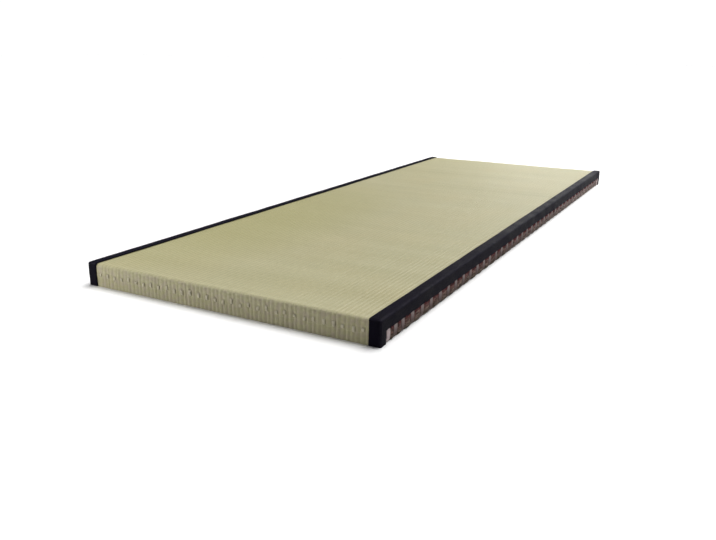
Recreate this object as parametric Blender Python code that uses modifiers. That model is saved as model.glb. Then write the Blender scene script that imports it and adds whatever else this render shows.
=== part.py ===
"""A tatami mat: a board of pressed rice straw, a woven rush cover and two cloth edge bindings.

The mat lies flat, as it is used. X runs across its width, Y along its length and Z up, in
metres, and the origin is the middle of its underside. The cover is one sheet that lies over
the board and is folded down both short ends. Each binding is one strip that is folded over a
long edge, down the upper part of the long side, and round both of its corners.
"""

import bmesh
import bpy
from mathutils import Matrix, Vector

# The whole mat
MAT_WIDTH = 0.762
MAT_LENGTH = 2.032
MAT_HEIGHT = 0.056

# The layers, from the outside in
BINDING_THICKNESS = 0.0015
COVER_THICKNESS = 0.002
LAYER_GAP = 0.0003

# The binding cloth
BAND_WIDTH = 0.026  # on the top, and on the two end faces
SIDE_DROP = 0.029  # down the long side, from the top
CORNER_FLAP = 0.024  # along the side, where the folded end reaches the underside
BINDING_FOLD_RADIUS = 0.005  # outside of the fold

# The pressed board
BOARD_EDGE_RADIUS = 0.001

FOLD_SEGMENTS = 6
EDGE_SEGMENTS = 2
CUTTER_MARGIN = 0.002

# Each layer is set back from the mat's outer faces by what lies over it.
COVER_INSET = BINDING_THICKNESS + LAYER_GAP
COVER_FOLD_RADIUS = BINDING_FOLD_RADIUS - COVER_INSET
BOARD_INSET = COVER_INSET + COVER_THICKNESS + LAYER_GAP
BOARD_SIDE_INSET = COVER_INSET

OUT = {
    "left": Vector((-1, 0, 0)),
    "right": Vector((1, 0, 0)),
    "under": Vector((0, 0, -1)),
}

# Colours are 8-bit display values.
FINISHES = {
    "rush": {"colour": (186, 180, 146), "roughness": 0.72},
    "binding": {"colour": (30, 29, 36), "roughness": 0.62},
    "straw": {"colour": (122, 108, 92), "roughness": 0.9},
}


def clear_scene():
    """Removes every object, so that only the mat is left in the file."""
    for found in list(bpy.data.objects):
        bpy.data.objects.remove(found, do_unlink=True)


def new_collection(name):
    """A new collection of that name, linked to the scene."""
    made = bpy.data.collections.new(name)
    bpy.context.scene.collection.children.link(made)
    return made


def linear(level):
    """One 8-bit display level as the linear value that a shader takes."""
    share = level / 255
    if share <= 0.04045:
        return share / 12.92
    return ((share + 0.055) / 1.055) ** 2.4


def new_material(name, finish):
    """A plain, non-metallic Principled material from one row of FINISHES."""
    material = bpy.data.materials.new(name)
    material.use_nodes = True
    shader = material.node_tree.nodes["Principled BSDF"]
    colour = [linear(level) for level in finish["colour"]]
    shader.inputs["Base Color"].default_value = (*colour, 1)
    shader.inputs["Roughness"].default_value = finish["roughness"]
    shader.inputs["Metallic"].default_value = 0
    material.diffuse_color = (*colour, 1)
    return material


def block_between(low, high):
    """A bmesh box that reaches from the corner low to the corner high."""
    low, high = Vector(low), Vector(high)
    stretch = Matrix.Diagonal((*(high - low), 1))
    shape = bmesh.new()
    bmesh.ops.create_cube(shape, size=1, matrix=Matrix.Translation((low + high) / 2) @ stretch)
    shape.normal_update()
    return shape


def object_from(shape, name, collection, material=None):
    """Turns a bmesh into a smooth-shaded object in that collection."""
    for face in shape.faces:
        face.smooth = True
    mesh = bpy.data.meshes.new(name)
    shape.to_mesh(mesh)
    shape.free()
    made = bpy.data.objects.new(name, mesh)
    collection.objects.link(made)
    if material:
        mesh.materials.append(material)
    return made


def keep_flats_flat(made):
    """Weights the shading by face area, so that only the rounded folds and edges look round."""
    weighted = made.modifiers.new("flat faces", "WEIGHTED_NORMAL")
    weighted.mode = "FACE_AREA"


def folded_sheet(name, low, high, open_sides, fold_radius, thickness, collection, material):
    """A sheet folded over a box: the box's open sides are left off, and each fold is rounded.

    The sheet's outer face lies on the box, and its thickness goes inwards.
    """
    shape = block_between(low, high)
    left_off = [face for face in shape.faces if any(face.normal.dot(side) > 0.5 for side in open_sides)]
    bmesh.ops.delete(shape, geom=left_off, context="FACES")
    folds = [edge for edge in shape.edges if len(edge.link_faces) == 2]
    bmesh.ops.bevel(
        shape,
        geom=folds,
        offset=fold_radius,
        offset_type="OFFSET",
        segments=FOLD_SEGMENTS,
        profile=0.5,
        affect="EDGES",
    )
    sheet = object_from(shape, name, collection, material)
    solidify = sheet.modifiers.new("thickness", "SOLIDIFY")
    solidify.thickness = thickness
    solidify.offset = -1
    solidify.use_even_offset = True
    solidify.use_rim = True
    return sheet


def straw_board(collection, material):
    """The board of pressed straw that fills the mat."""
    half_width = MAT_WIDTH / 2 - BOARD_SIDE_INSET
    half_length = MAT_LENGTH / 2 - BOARD_INSET
    shape = block_between((-half_width, -half_length, 0), (half_width, half_length, MAT_HEIGHT - BOARD_INSET))
    board = object_from(shape, "straw_board", collection, material)
    bevel = board.modifiers.new("edges", "BEVEL")
    bevel.width = BOARD_EDGE_RADIUS
    bevel.segments = EDGE_SEGMENTS
    keep_flats_flat(board)
    return board


def rush_cover(collection, material):
    """The woven sheet over the top and both short ends, cut square just inside the long folds."""
    half_width = MAT_WIDTH / 2 - BINDING_FOLD_RADIUS - LAYER_GAP
    half_length = MAT_LENGTH / 2 - COVER_INSET
    cover = folded_sheet(
        "rush_cover",
        (-half_width, -half_length, 0),
        (half_width, half_length, MAT_HEIGHT - COVER_INSET),
        (OUT["left"], OUT["right"], OUT["under"]),
        COVER_FOLD_RADIUS,
        COVER_THICKNESS,
        collection,
        material,
    )
    keep_flats_flat(cover)
    return cover


def edge_binding(side, collection, cutters, material):
    """One binding strip. side is 1 for the edge at +X and -1 for the edge at -X."""
    name = "binding_right" if side > 0 else "binding_left"
    inner = side * (MAT_WIDTH / 2 - BAND_WIDTH)
    outer = side * MAT_WIDTH / 2
    half_length = MAT_LENGTH / 2
    strip = folded_sheet(
        name,
        (min(inner, outer), -half_length, 0),
        (max(inner, outer), half_length, MAT_HEIGHT),
        (OUT["left"] if side > 0 else OUT["right"], OUT["under"]),
        BINDING_FOLD_RADIUS,
        BINDING_THICKNESS,
        collection,
        material,
    )
    uncovered_half_length = half_length - CORNER_FLAP
    near = outer - side * (BINDING_THICKNESS + CUTTER_MARGIN)
    far = outer + side * CUTTER_MARGIN
    window = block_between(
        (min(near, far), -uncovered_half_length, -CUTTER_MARGIN),
        (max(near, far), uncovered_half_length, MAT_HEIGHT - SIDE_DROP),
    )
    cutter = object_from(window, name + "_side_cut", cutters)
    cutter.hide_render = True
    cutter.display_type = "WIRE"
    cut = strip.modifiers.new("open lower side", "BOOLEAN")
    cut.operation = "DIFFERENCE"
    cut.solver = "EXACT"
    cut.object = cutter
    keep_flats_flat(strip)
    return strip


def main():
    """Builds the mat."""
    clear_scene()
    parts = new_collection("tatami_mat")
    cutters = new_collection("cutters")
    cutters.hide_render = True
    materials = {name: new_material(name, finish) for name, finish in FINISHES.items()}
    straw_board(parts, materials["straw"])
    rush_cover(parts, materials["rush"])
    for side in (-1, 1):
        edge_binding(side, parts, cutters, materials["binding"])


main()
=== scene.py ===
"""Looks of a tatami mat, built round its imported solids.

A board of pressed rice straw carries a cover of woven rush, folded down both short ends. A dark
cloth binding is folded over each long edge and round its corners. Twine holds the cover to the
ends of the board, and cord is sewn down the long sides below the bindings.

Every piece is built in the row frame, in metres: X across the mat, Y along it and Z up.
"""

import logging
import math
from dataclasses import dataclass, field
from enum import Enum
from functools import cache
from typing import Any

import bpy
import numpy as np
from mathutils import Matrix, Vector


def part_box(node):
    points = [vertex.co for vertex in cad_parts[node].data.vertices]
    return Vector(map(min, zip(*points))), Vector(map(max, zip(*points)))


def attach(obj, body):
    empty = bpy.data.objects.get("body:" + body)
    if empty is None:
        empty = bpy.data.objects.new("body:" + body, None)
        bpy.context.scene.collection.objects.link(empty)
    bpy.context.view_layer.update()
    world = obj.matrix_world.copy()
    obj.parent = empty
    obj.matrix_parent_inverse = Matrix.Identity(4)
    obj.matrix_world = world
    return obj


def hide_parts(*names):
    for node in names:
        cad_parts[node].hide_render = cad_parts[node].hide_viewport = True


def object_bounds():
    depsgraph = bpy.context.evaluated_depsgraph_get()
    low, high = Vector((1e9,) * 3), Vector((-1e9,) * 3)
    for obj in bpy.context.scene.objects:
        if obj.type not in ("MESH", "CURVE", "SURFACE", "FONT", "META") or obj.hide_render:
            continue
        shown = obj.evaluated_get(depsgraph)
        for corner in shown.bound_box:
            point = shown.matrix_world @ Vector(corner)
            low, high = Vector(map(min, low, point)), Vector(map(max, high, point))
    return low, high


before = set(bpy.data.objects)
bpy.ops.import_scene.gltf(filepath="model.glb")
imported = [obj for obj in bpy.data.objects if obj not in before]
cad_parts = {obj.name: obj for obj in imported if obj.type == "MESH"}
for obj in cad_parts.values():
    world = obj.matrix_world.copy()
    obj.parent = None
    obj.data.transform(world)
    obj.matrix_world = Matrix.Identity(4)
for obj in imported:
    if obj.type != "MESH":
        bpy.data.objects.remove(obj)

CAD_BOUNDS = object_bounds()
ROOT_BODY = "root"
WEAVE_ATTRIBUTE = "weave"
ASKEW = (0.31, 0.17, 0.93)  # a heading that no cord or thread follows
TIP_GIRTH = 0.45  # of a tube's own girth, at its two ends
SAME_PLACE = 1e-6
LOG = logging.getLogger("tatami")

Array = np.ndarray
Faces = list[list[int]]
Mesh = tuple[Array, Faces]
Socket = bpy.types.NodeSocket


class Side(Enum):
    """A long edge of the mat, by the sign of its X."""

    LEFT = -1
    RIGHT = 1


class End(Enum):
    """A short end of the mat, by the sign of its Y."""

    NEAR = -1
    FAR = 1


@dataclass(frozen=True)
class Tone:
    """A colour, as 8-bit display levels."""

    red: float
    green: float
    blue: float

    def linear(self) -> tuple[float, float, float, float]:
        """Returns the colour as the linear RGBA that a shader takes."""
        shares = (level / 255 for level in (self.red, self.green, self.blue))
        return (*(s / 12.92 if s <= 0.04045 else ((s + 0.055) / 1.055) ** 2.4 for s in shares), 1.0)


@dataclass(frozen=True)
class Waviness:
    """Soft unevenness: a sum of sine waves that run in seeded random directions."""

    wavelength: float
    height: float
    seed: int
    waves: int = 9
    length_spread: tuple[float, float] = (0.6, 1.6)

    def at(self, points: Array) -> Array:
        """Gives the unevenness at each point.

        Args:
            points: One row for each point, in metres, with any number of columns.

        Returns:
            One value for each point, mostly within plus and minus the height.
        """
        draw = np.random.default_rng(self.seed)
        total = np.zeros(len(points))
        for _ in range(self.waves):
            heading = draw.normal(size=points.shape[1])
            heading /= np.linalg.norm(heading)
            length = self.wavelength * draw.uniform(*self.length_spread)
            phase = draw.uniform(0, 2 * math.pi)
            total += np.sin(points @ heading * (2 * math.pi / length) + phase)
        return self.height * total / math.sqrt(self.waves)


def smoothstep(low: float, high: float, values: Array) -> Array:
    """Rises smoothly from 0 at low to 1 at high."""
    share = np.clip((values - low) / (high - low), 0, 1)
    return share * share * (3 - 2 * share)


def bell(distances: Array, spread: float) -> Array:
    """A smooth bump of height 1 that falls off over spread."""
    return np.exp(-((distances / spread) ** 2))


# ---------------------------------------------------------------- meshes


def outward(points: Array, faces: Faces) -> Faces:
    """Turns the faces of a closed mesh so that they all face out.

    Args:
        points: The mesh's points.
        faces: Its faces, which already agree with each other.

    Returns:
        The same faces, reversed if the mesh was inside out.
    """
    fans = np.array([(f[0], f[i], f[i + 1]) for f in faces for i in range(1, len(f) - 1)])
    a, b, c = (points[fans[:, i]] for i in range(3))
    volume = np.einsum("ij,ij->i", a, np.cross(b, c)).sum()
    return faces if volume > 0 else [face[::-1] for face in faces]


def loft(rings: Array) -> Mesh:
    """Joins closed rings of points into one closed body with a face across each end.

    Args:
        rings: Points, by ring and by place in the ring.

    Returns:
        The points and the faces.
    """
    count, around = rings.shape[:2]
    index = np.arange(count * around).reshape(count, around)
    ahead = np.roll(index, -1, axis=1)
    quads = np.stack([index[:-1], ahead[:-1], ahead[1:], index[1:]], axis=-1).reshape(-1, 4)
    faces = quads.tolist() + [index[0, ::-1].tolist(), index[-1].tolist()]
    points = rings.reshape(-1, 3)
    return points, outward(points, faces)


def new_piece(
    name: str,
    points: Array,
    faces: Faces,
    weave: Array | None = None,
    sharp_deg: float = 60,
) -> bpy.types.Object:
    """Makes a smooth-shaded object from points and faces.

    Args:
        name: The piece's name.
        points: Its points, in the row frame.
        faces: Its faces.
        weave: Where each point lies on the flat cloth, for the finish to read.
        sharp_deg: Edges that turn by more than this stay sharp.

    Returns:
        The new object, in the scene.
    """
    mesh = bpy.data.meshes.new(name)
    mesh.from_pydata(points.tolist(), [], faces)
    mesh.update()
    if weave is not None:
        attribute = mesh.attributes.new(WEAVE_ATTRIBUTE, "FLOAT_VECTOR", "POINT")
        attribute.data.foreach_set("vector", weave.astype(np.float32).ravel())
    mesh.shade_smooth()
    mesh.set_sharp_from_angle(angle=math.radians(sharp_deg))
    piece = bpy.data.objects.new(name, mesh)
    bpy.context.scene.collection.objects.link(piece)
    return piece


def tube(line: Array, radius: float, sides: int) -> Mesh:
    """Makes a closed tube along a line, rounded off at both ends.

    Args:
        line: The points of the tube's centreline.
        radius: Its radius.
        sides: How many sides it has.

    Returns:
        The points and the faces.
    """
    heading = np.gradient(line, axis=0)
    heading /= np.linalg.norm(heading, axis=1)[:, None]
    aside = np.cross(heading, ASKEW)
    aside /= np.linalg.norm(aside, axis=1)[:, None]
    above = np.cross(heading, aside)
    turn = np.linspace(0, 2 * math.pi, sides, endpoint=False)
    girth = np.full(len(line), radius)
    girth[[0, -1]] *= TIP_GIRTH
    rings = line[:, None] + girth[:, None, None] * (
        np.cos(turn)[None, :, None] * aside[:, None] + np.sin(turn)[None, :, None] * above[:, None]
    )
    return loft(rings)


def joined(parts: list[Mesh]) -> Mesh:
    """Joins several meshes into one.

    Args:
        parts: Each mesh, as its points and its faces.

    Returns:
        All the points and all the faces.
    """
    points, faces, start = [], [], 0
    for part_points, part_faces in parts:
        points.append(part_points)
        faces += [[corner + start for corner in face] for face in part_faces]
        start += len(part_points)
    return np.concatenate(points), faces


# ---------------------------------------------------------------- shader parts


class Wiring:
    """Adds nodes to one node tree and joins them up."""

    def __init__(self, tree: bpy.types.NodeTree) -> None:
        """Keeps the tree to work on."""
        self.tree = tree

    def add(self, kind: str, **settings: Any) -> bpy.types.Node:
        """Adds a node.

        Args:
            kind: The node's type name.
            settings: Its properties, by name.

        Returns:
            The new node.
        """
        node = self.tree.nodes.new(kind)
        for name, value in settings.items():
            setattr(node, name, value)
        return node

    def put(self, value: Any, socket: Socket) -> None:
        """Joins a socket to an input, or sets the input to a plain value.

        Args:
            value: A socket, a tone or a number.
            socket: The input that takes it.
        """
        if isinstance(value, bpy.types.NodeSocket):
            self.tree.links.new(value, socket)
        elif isinstance(value, Tone):
            socket.default_value = value.linear()
        else:
            socket.default_value = value

    def math(self, operation: str, *values: Any, clamp: bool = False) -> Socket:
        """Adds a Math node.

        Args:
            operation: What it works out.
            values: What it works on, each a socket or a number.
            clamp: Whether the result is held between 0 and 1.

        Returns:
            The result.
        """
        node = self.add("ShaderNodeMath", operation=operation, use_clamp=clamp)
        for value, socket in zip(values, node.inputs):
            self.put(value, socket)
        return node.outputs[0]

    def mix(self, share: Any, first: Any, second: Any) -> Socket:
        """Mixes two colours.

        Args:
            share: How much of the second colour to take, from 0 to 1.
            first: The first colour, a socket or a tone.
            second: The second colour, a socket or a tone.

        Returns:
            The mixed colour.
        """
        node = self.add("ShaderNodeMix", data_type="RGBA")
        for value, socket in zip((share, first, second), (node.inputs[0], node.inputs[6], node.inputs[7])):
            self.put(value, socket)
        return node.outputs[2]

    def stretch(self, value: Socket, low: float, high: float, to_low: float, to_high: float) -> Socket:
        """Maps a value's range onto another range, and holds it there.

        Args:
            value: The value.
            low: Where its range starts.
            high: Where its range ends.
            to_low: What low becomes.
            to_high: What high becomes.

        Returns:
            The mapped value.
        """
        node = self.add("ShaderNodeMapRange", clamp=True)
        for number, socket in zip((value, low, high, to_low, to_high), node.inputs):
            self.put(number, socket)
        return node.outputs[0]

    def vector(self, x: Any, y: Any, z: Any) -> Socket:
        """Combines three values into a vector.

        Args:
            x: The first value, a socket or a number.
            y: The second.
            z: The third.

        Returns:
            The vector.
        """
        node = self.add("ShaderNodeCombineXYZ")
        for value, socket in zip((x, y, z), node.inputs):
            self.put(value, socket)
        return node.outputs[0]

    def parts(self, vector: Socket) -> tuple[Socket, Socket, Socket]:
        """Splits a vector.

        Args:
            vector: The vector.

        Returns:
            Its three values.
        """
        node = self.add("ShaderNodeSeparateXYZ")
        self.put(vector, node.inputs[0])
        return tuple(node.outputs)

    def random(self, number: Socket, seed: float) -> Socket:
        """Draws a random value that always belongs to the same two numbers.

        Args:
            number: A whole number that changes over the surface.
            seed: A number that sets this draw apart from others.

        Returns:
            A value from 0 to 1.
        """
        node = self.add("ShaderNodeTexWhiteNoise", noise_dimensions="2D")
        self.put(self.vector(number, seed, 0.5), node.inputs["Vector"])
        return node.outputs["Value"]

    def use(self, group: bpy.types.NodeTree, **values: Any) -> bpy.types.Node:
        """Places a node group.

        Args:
            group: The group.
            values: What goes into its inputs, by name, with an underscore for each space.

        Returns:
            The group's node.
        """
        node = self.add("ShaderNodeGroup", node_tree=group)
        for name, value in values.items():
            self.put(value, node.inputs[name.replace("_", " ")])
        return node


class Effect:
    """The shader node groups that the finishes share, each built once."""

    RIB_ROUNDNESS = 0.6
    STRAND_ROUNDNESS = 0.7
    GROOVE_SHARPNESS = 2.2
    STRAND_DRAW = 7.0
    RIB_DRAW = 3.0
    THREAD_DRAWS = (11.0, 23.0)

    @classmethod
    def group(cls, name: str, inputs: dict[str, float | None], outputs: list[str]) -> tuple[Any, ...]:
        """Starts a new group.

        Args:
            name: The group's name.
            inputs: Each input's name and its default, or None for a vector.
            outputs: The outputs' names. They are all values.

        Returns:
            The tree, its wiring, the group's input sockets by name, and the output node.
        """
        tree = bpy.data.node_groups.new(name, "ShaderNodeTree")
        for title, default in inputs.items():
            kind = "NodeSocketVector" if default is None else "NodeSocketFloat"
            socket = tree.interface.new_socket(title, in_out="INPUT", socket_type=kind)
            if default is not None:
                socket.default_value = default
        for title in outputs:
            tree.interface.new_socket(title, in_out="OUTPUT", socket_type="NodeSocketFloat")
        wiring = Wiring(tree)
        source = wiring.add("NodeGroupInput")
        return tree, wiring, source.outputs, wiring.add("NodeGroupOutput")

    @classmethod
    @cache
    def mottle(cls) -> bpy.types.NodeTree:
        """Soft blotches: a value from 0 to 1, about half of it over 0.5.

        Returns:
            The group.
        """
        tree, wiring, given, result = cls.group(
            "mottle", {"Place": None, "Size": 0.1, "Detail": 2.0, "Contrast": 1.0}, ["Value"]
        )
        noise = wiring.add("ShaderNodeTexNoise", noise_dimensions="3D")
        wiring.put(given["Place"], noise.inputs["Vector"])
        wiring.put(wiring.math("DIVIDE", 1.0, given["Size"]), noise.inputs["Scale"])
        wiring.put(given["Detail"], noise.inputs["Detail"])
        centred = wiring.math("SUBTRACT", noise.outputs["Fac"], 0.5)
        spread = wiring.math("MULTIPLY_ADD", centred, given["Contrast"], 0.5)
        wiring.put(wiring.math("MAXIMUM", wiring.math("MINIMUM", spread, 1.0), 0.0), result.inputs["Value"])
        return tree

    @classmethod
    @cache
    def rush_weave(cls) -> bpy.types.NodeTree:
        """Rush woven over lengthwise cords.

        Place is (ribs counted across, metres along, anything). Each rib shows every second strand,
        and the ribs beside it show the others.

        Returns:
            The group.
        """
        tree, wiring, given, result = cls.group(
            "rush_weave", {"Place": None, "Strand Width": 0.002}, ["Strand", "Rib", "Groove", "Height"]
        )
        ribs, along, _ = wiring.parts(given["Place"])
        rib = wiring.math("FLOOR", ribs)
        odd = wiring.math("MODULO", wiring.math("ABSOLUTE", rib), 2.0)
        strands = wiring.math("MULTIPLY_ADD", odd, 0.5, wiring.math("DIVIDE", along, given["Strand Width"]))
        strand = wiring.math("FLOOR", strands)
        across_rib = wiring.math("SINE", wiring.math("MULTIPLY", wiring.math("FRACT", ribs), math.pi))
        across_strand = wiring.math("SINE", wiring.math("MULTIPLY", wiring.math("FRACT", strands), math.pi))
        height = wiring.math(
            "MULTIPLY",
            wiring.math("POWER", across_rib, cls.RIB_ROUNDNESS),
            wiring.math("POWER", across_strand, cls.STRAND_ROUNDNESS),
        )
        number = wiring.math("MULTIPLY_ADD", strand, 2.0, odd)
        wiring.put(wiring.random(number, cls.STRAND_DRAW), result.inputs["Strand"])
        wiring.put(wiring.random(rib, cls.RIB_DRAW), result.inputs["Rib"])
        groove = wiring.math("POWER", wiring.math("SUBTRACT", 1.0, across_rib), cls.GROOVE_SHARPNESS)
        wiring.put(groove, result.inputs["Groove"])
        wiring.put(height, result.inputs["Height"])
        return tree

    @classmethod
    @cache
    def plain_weave(cls) -> bpy.types.NodeTree:
        """Cotton cloth of two crossing sets of threads. Place is in metres over the flat cloth.

        Returns:
            The group.
        """
        tree, wiring, given, result = cls.group(
            "plain_weave", {"Place": None, "Thread": 0.0008}, ["Tone", "Height"]
        )
        across, along, _ = wiring.parts(given["Place"])
        cells = [wiring.math("DIVIDE", value, given["Thread"]) for value in (across, along)]
        waves = [wiring.math("SINE", wiring.math("MULTIPLY", cell, math.pi)) for cell in cells]
        over = wiring.math("MULTIPLY", *waves)
        numbers = [wiring.math("FLOOR", cell) for cell in cells]
        tones = [wiring.random(number, seed) for number, seed in zip(numbers, cls.THREAD_DRAWS)]
        wiring.put(wiring.math("MULTIPLY", wiring.math("ADD", *tones), 0.5), result.inputs["Tone"])
        wiring.put(wiring.math("MULTIPLY_ADD", over, 0.5, 0.5), result.inputs["Height"])
        return tree

    @classmethod
    @cache
    def fibres(cls) -> bpy.types.NodeTree:
        """Long thin fibres that run along Y of Place, each with its own tone and a round back.

        Returns:
            The group.
        """
        tree, wiring, given, result = cls.group(
            "fibres", {"Place": None, "Width": 0.002, "Length": 0.04}, ["Tone", "Height"]
        )
        x, y, z = wiring.parts(given["Place"])
        squeezed = wiring.vector(
            wiring.math("DIVIDE", x, given["Width"]),
            wiring.math("DIVIDE", y, given["Length"]),
            wiring.math("DIVIDE", z, given["Width"]),
        )
        cells = wiring.add("ShaderNodeTexVoronoi", voronoi_dimensions="3D", feature="F1")
        wiring.put(squeezed, cells.inputs["Vector"])
        wiring.put(1.0, cells.inputs["Scale"])
        tone, _, _ = wiring.parts(cells.outputs["Color"])
        wiring.put(tone, result.inputs["Tone"])
        height = wiring.math("SUBTRACT", 1.0, cells.outputs["Distance"], clamp=True)
        wiring.put(height, result.inputs["Height"])
        return tree

    @classmethod
    @cache
    def wear_and_highlight(cls) -> bpy.types.NodeTree:
        """Broken wear and painted highlight: where Edge is near 1, a patchy mask from 0 to 1.

        Returns:
            The group.
        """
        tree, wiring, given, result = cls.group(
            "wear_and_highlight", {"Place": None, "Edge": 0.0, "Patch": 0.02, "Amount": 0.5}, ["Mask"]
        )
        size = given["Patch"]
        patches = wiring.use(cls.mottle(), Place=given["Place"], Size=size, Detail=4.0, Contrast=2.5)
        masked = wiring.math("MULTIPLY", patches.outputs["Value"], given["Edge"])
        wiring.put(wiring.math("MULTIPLY", masked, given["Amount"], clamp=True), result.inputs["Mask"])
        return tree


@dataclass(frozen=True)
class Blotches:
    """Soft patches in a finish, and how much of another tone they take.

    The patches' value runs from 0 to 1. The tone's share rises from 0 at low to most at high.
    """

    size: float
    detail: float
    contrast: float
    low: float = 0.0
    high: float = 1.0
    most: float = 1.0

    def value(self, wiring: Wiring, place: Socket) -> Socket:
        """Gives the patches' value.

        Args:
            wiring: The material's wiring.
            place: The place to read.

        Returns:
            The value, from 0 to 1.
        """
        node = wiring.use(
            Effect.mottle(), Place=place, Size=self.size, Detail=self.detail, Contrast=self.contrast
        )
        return node.outputs["Value"]

    def share(self, wiring: Wiring, place: Socket) -> Socket:
        """Returns how much of the other tone shows at the place."""
        return wiring.stretch(self.value(wiring, place), self.low, self.high, 0.0, self.most)


class Finish:
    """What every finish shares: a material with a Principled shader and places to read."""

    def start(self, name: str) -> tuple[bpy.types.Material, Wiring, bpy.types.Node]:
        """Makes a material with nothing wired to its shader yet.

        Args:
            name: The material's name.

        Returns:
            The material, its wiring and its shader.
        """
        material = bpy.data.materials.new(name)
        material.use_nodes = True
        shader = material.node_tree.nodes["Principled BSDF"]
        return material, Wiring(material.node_tree), shader

    def place(self, wiring: Wiring) -> Socket:
        """Returns the place in the row frame, in metres."""
        return wiring.add("ShaderNodeTexCoord").outputs["Object"]

    def weave_place(self, wiring: Wiring) -> Socket:
        """Returns the place on the flat cloth that the mesh carries."""
        return wiring.add("ShaderNodeAttribute", attribute_name=WEAVE_ATTRIBUTE).outputs["Vector"]

    def bump(self, wiring: Wiring, shader: bpy.types.Node, height: Socket, distance: float) -> None:
        """Feeds the shader's normal from a height.

        Args:
            wiring: The material's wiring.
            shader: The material's shader.
            height: The height, from 0 to 1.
            distance: What a height of 1 stands for, in metres.
        """
        node = wiring.add("ShaderNodeBump")
        wiring.put(height, node.inputs["Height"])
        wiring.put(1.0, node.inputs["Strength"])
        wiring.put(distance, node.inputs["Distance"])
        wiring.put(node.outputs["Normal"], shader.inputs["Normal"])


@dataclass(frozen=True)
class RushFinish(Finish):
    """Dried rush: matt to low sheen, greenish straw, with painted shade in the grooves and on the ends.

    The rush comes in lots of one shade, woven in one after another along the mat. It is greenest
    about one place on the top, and the ends take painted shade: a darker, greyer tone in patches.
    """

    pale: Tone = Tone(192, 187, 150)
    green: Tone = Tone(169, 164, 123)
    dry: Tone = Tone(187, 177, 134)
    fresh: Tone = Tone(172, 167, 115)
    # painted shade on the ends, laid in patches
    end_shade: Tone = Tone(178, 165, 145)
    # painted shade for the grooves between the ribs
    shade: Tone = Tone(120, 112, 82)
    glow: Tone = Tone(244, 234, 196)
    strand_width: float = 0.0021
    strand_height: float = 0.0004
    lot_size: tuple[float, float] = (0.9, 0.09)
    lot_layer: float = 2.0
    lots: Blotches = Blotches(1.0, 3.0, 2.0)
    lot_share: float = 0.6
    dry_patches: Blotches = Blotches(0.16, 3.0, 1.6, 0.4, 0.85, 0.4)
    green_flecks: Blotches = Blotches(0.012, 3.0, 2.0, 0.6, 0.95, 0.35)
    end_shade_patches: Blotches = Blotches(0.013, 2.0, 3.0, 0.35, 0.8, 0.6)
    fresh_place: tuple[float, float] = (-0.31, -0.42)
    fresh_reach: tuple[float, float] = (0.32, 0.66)
    fresh_share: float = 0.85
    groove_shade: float = 0.16
    streak_shade: float = 0.28
    streak_from: float = 0.3
    roughness: tuple[float, float] = (0.42, 0.6)
    specular: float = 0.5
    sheen: float = 0.6
    sheen_roughness: float = 0.25

    def lot_place(self, wiring: Wiring, place: Socket) -> Socket:
        """Squeezes the place so that a lot of rush is one unit wide and one unit long.

        Args:
            wiring: The material's wiring.
            place: The place in the row frame.

        Returns:
            The place among the lots.
        """
        across, along, height = wiring.parts(place)
        width, length = self.lot_size
        return wiring.vector(
            wiring.math("DIVIDE", across, width),
            wiring.math("DIVIDE", wiring.math("ADD", along, height), length),
            self.lot_layer,
        )

    def freshness(self, wiring: Wiring, place: Socket, top: Socket) -> Socket:
        """Gives how much of the fresh green shows.

        Args:
            wiring: The material's wiring.
            place: The place in the row frame.
            top: 1 on the top and 0 on the ends.

        Returns:
            The share of the fresh tone.
        """
        across, along, _ = wiring.parts(place)
        away = [
            wiring.math("DIVIDE", wiring.math("SUBTRACT", value, middle), reach)
            for value, middle, reach in zip((across, along), self.fresh_place, self.fresh_reach)
        ]
        spread = wiring.math("ADD", *(wiring.math("MULTIPLY", value, value) for value in away))
        return wiring.math("MULTIPLY", wiring.stretch(spread, 0.0, 1.0, self.fresh_share, 0.0), top)

    def material(self) -> bpy.types.Material:
        """Builds the material.

        Returns:
            The material.
        """
        material, wiring, shader = self.start("woven_rush")
        place = self.place(wiring)
        weave = self.weave_place(wiring)
        _, _, top = wiring.parts(weave)
        ends = wiring.math("SUBTRACT", 1.0, top)
        strands = wiring.use(Effect.rush_weave(), Place=weave, Strand_Width=self.strand_width)
        strand = strands.outputs["Strand"]
        lot = self.lots.value(wiring, self.lot_place(wiring, place))
        lot = wiring.math("MULTIPLY", lot, self.lot_share)
        green = wiring.math("MULTIPLY_ADD", strand, 1 - self.lot_share, lot)
        colour = wiring.mix(green, self.pale, self.green)
        colour = wiring.mix(self.dry_patches.share(wiring, place), colour, self.dry)
        colour = wiring.mix(self.green_flecks.share(wiring, place), colour, self.green)
        colour = wiring.mix(self.freshness(wiring, place, top), colour, self.fresh)
        # painted shade: the ends take a darker, greyer tone in patches
        end_shade = wiring.math("MULTIPLY", self.end_shade_patches.share(wiring, place), ends)
        colour = wiring.mix(end_shade, colour, self.end_shade)
        # painted shade: the grooves darken, more so along some ribs on the ends
        streak = wiring.stretch(strands.outputs["Rib"], self.streak_from, 1.0, 0.0, self.streak_shade)
        shade = wiring.math("ADD", wiring.math("MULTIPLY", streak, ends), self.groove_shade)
        groove = wiring.math("MULTIPLY", strands.outputs["Groove"], shade, clamp=True)
        colour = wiring.mix(groove, colour, self.shade)
        wiring.put(colour, shader.inputs["Base Color"])
        wiring.put(wiring.stretch(strand, 0.0, 1.0, *self.roughness), shader.inputs["Roughness"])
        shader.inputs["Specular IOR Level"].default_value = self.specular
        shader.inputs["Sheen Weight"].default_value = self.sheen
        shader.inputs["Sheen Roughness"].default_value = self.sheen_roughness
        shader.inputs["Sheen Tint"].default_value = self.glow.linear()
        self.bump(wiring, shader, strands.outputs["Height"], self.strand_height)
        return material


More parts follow.
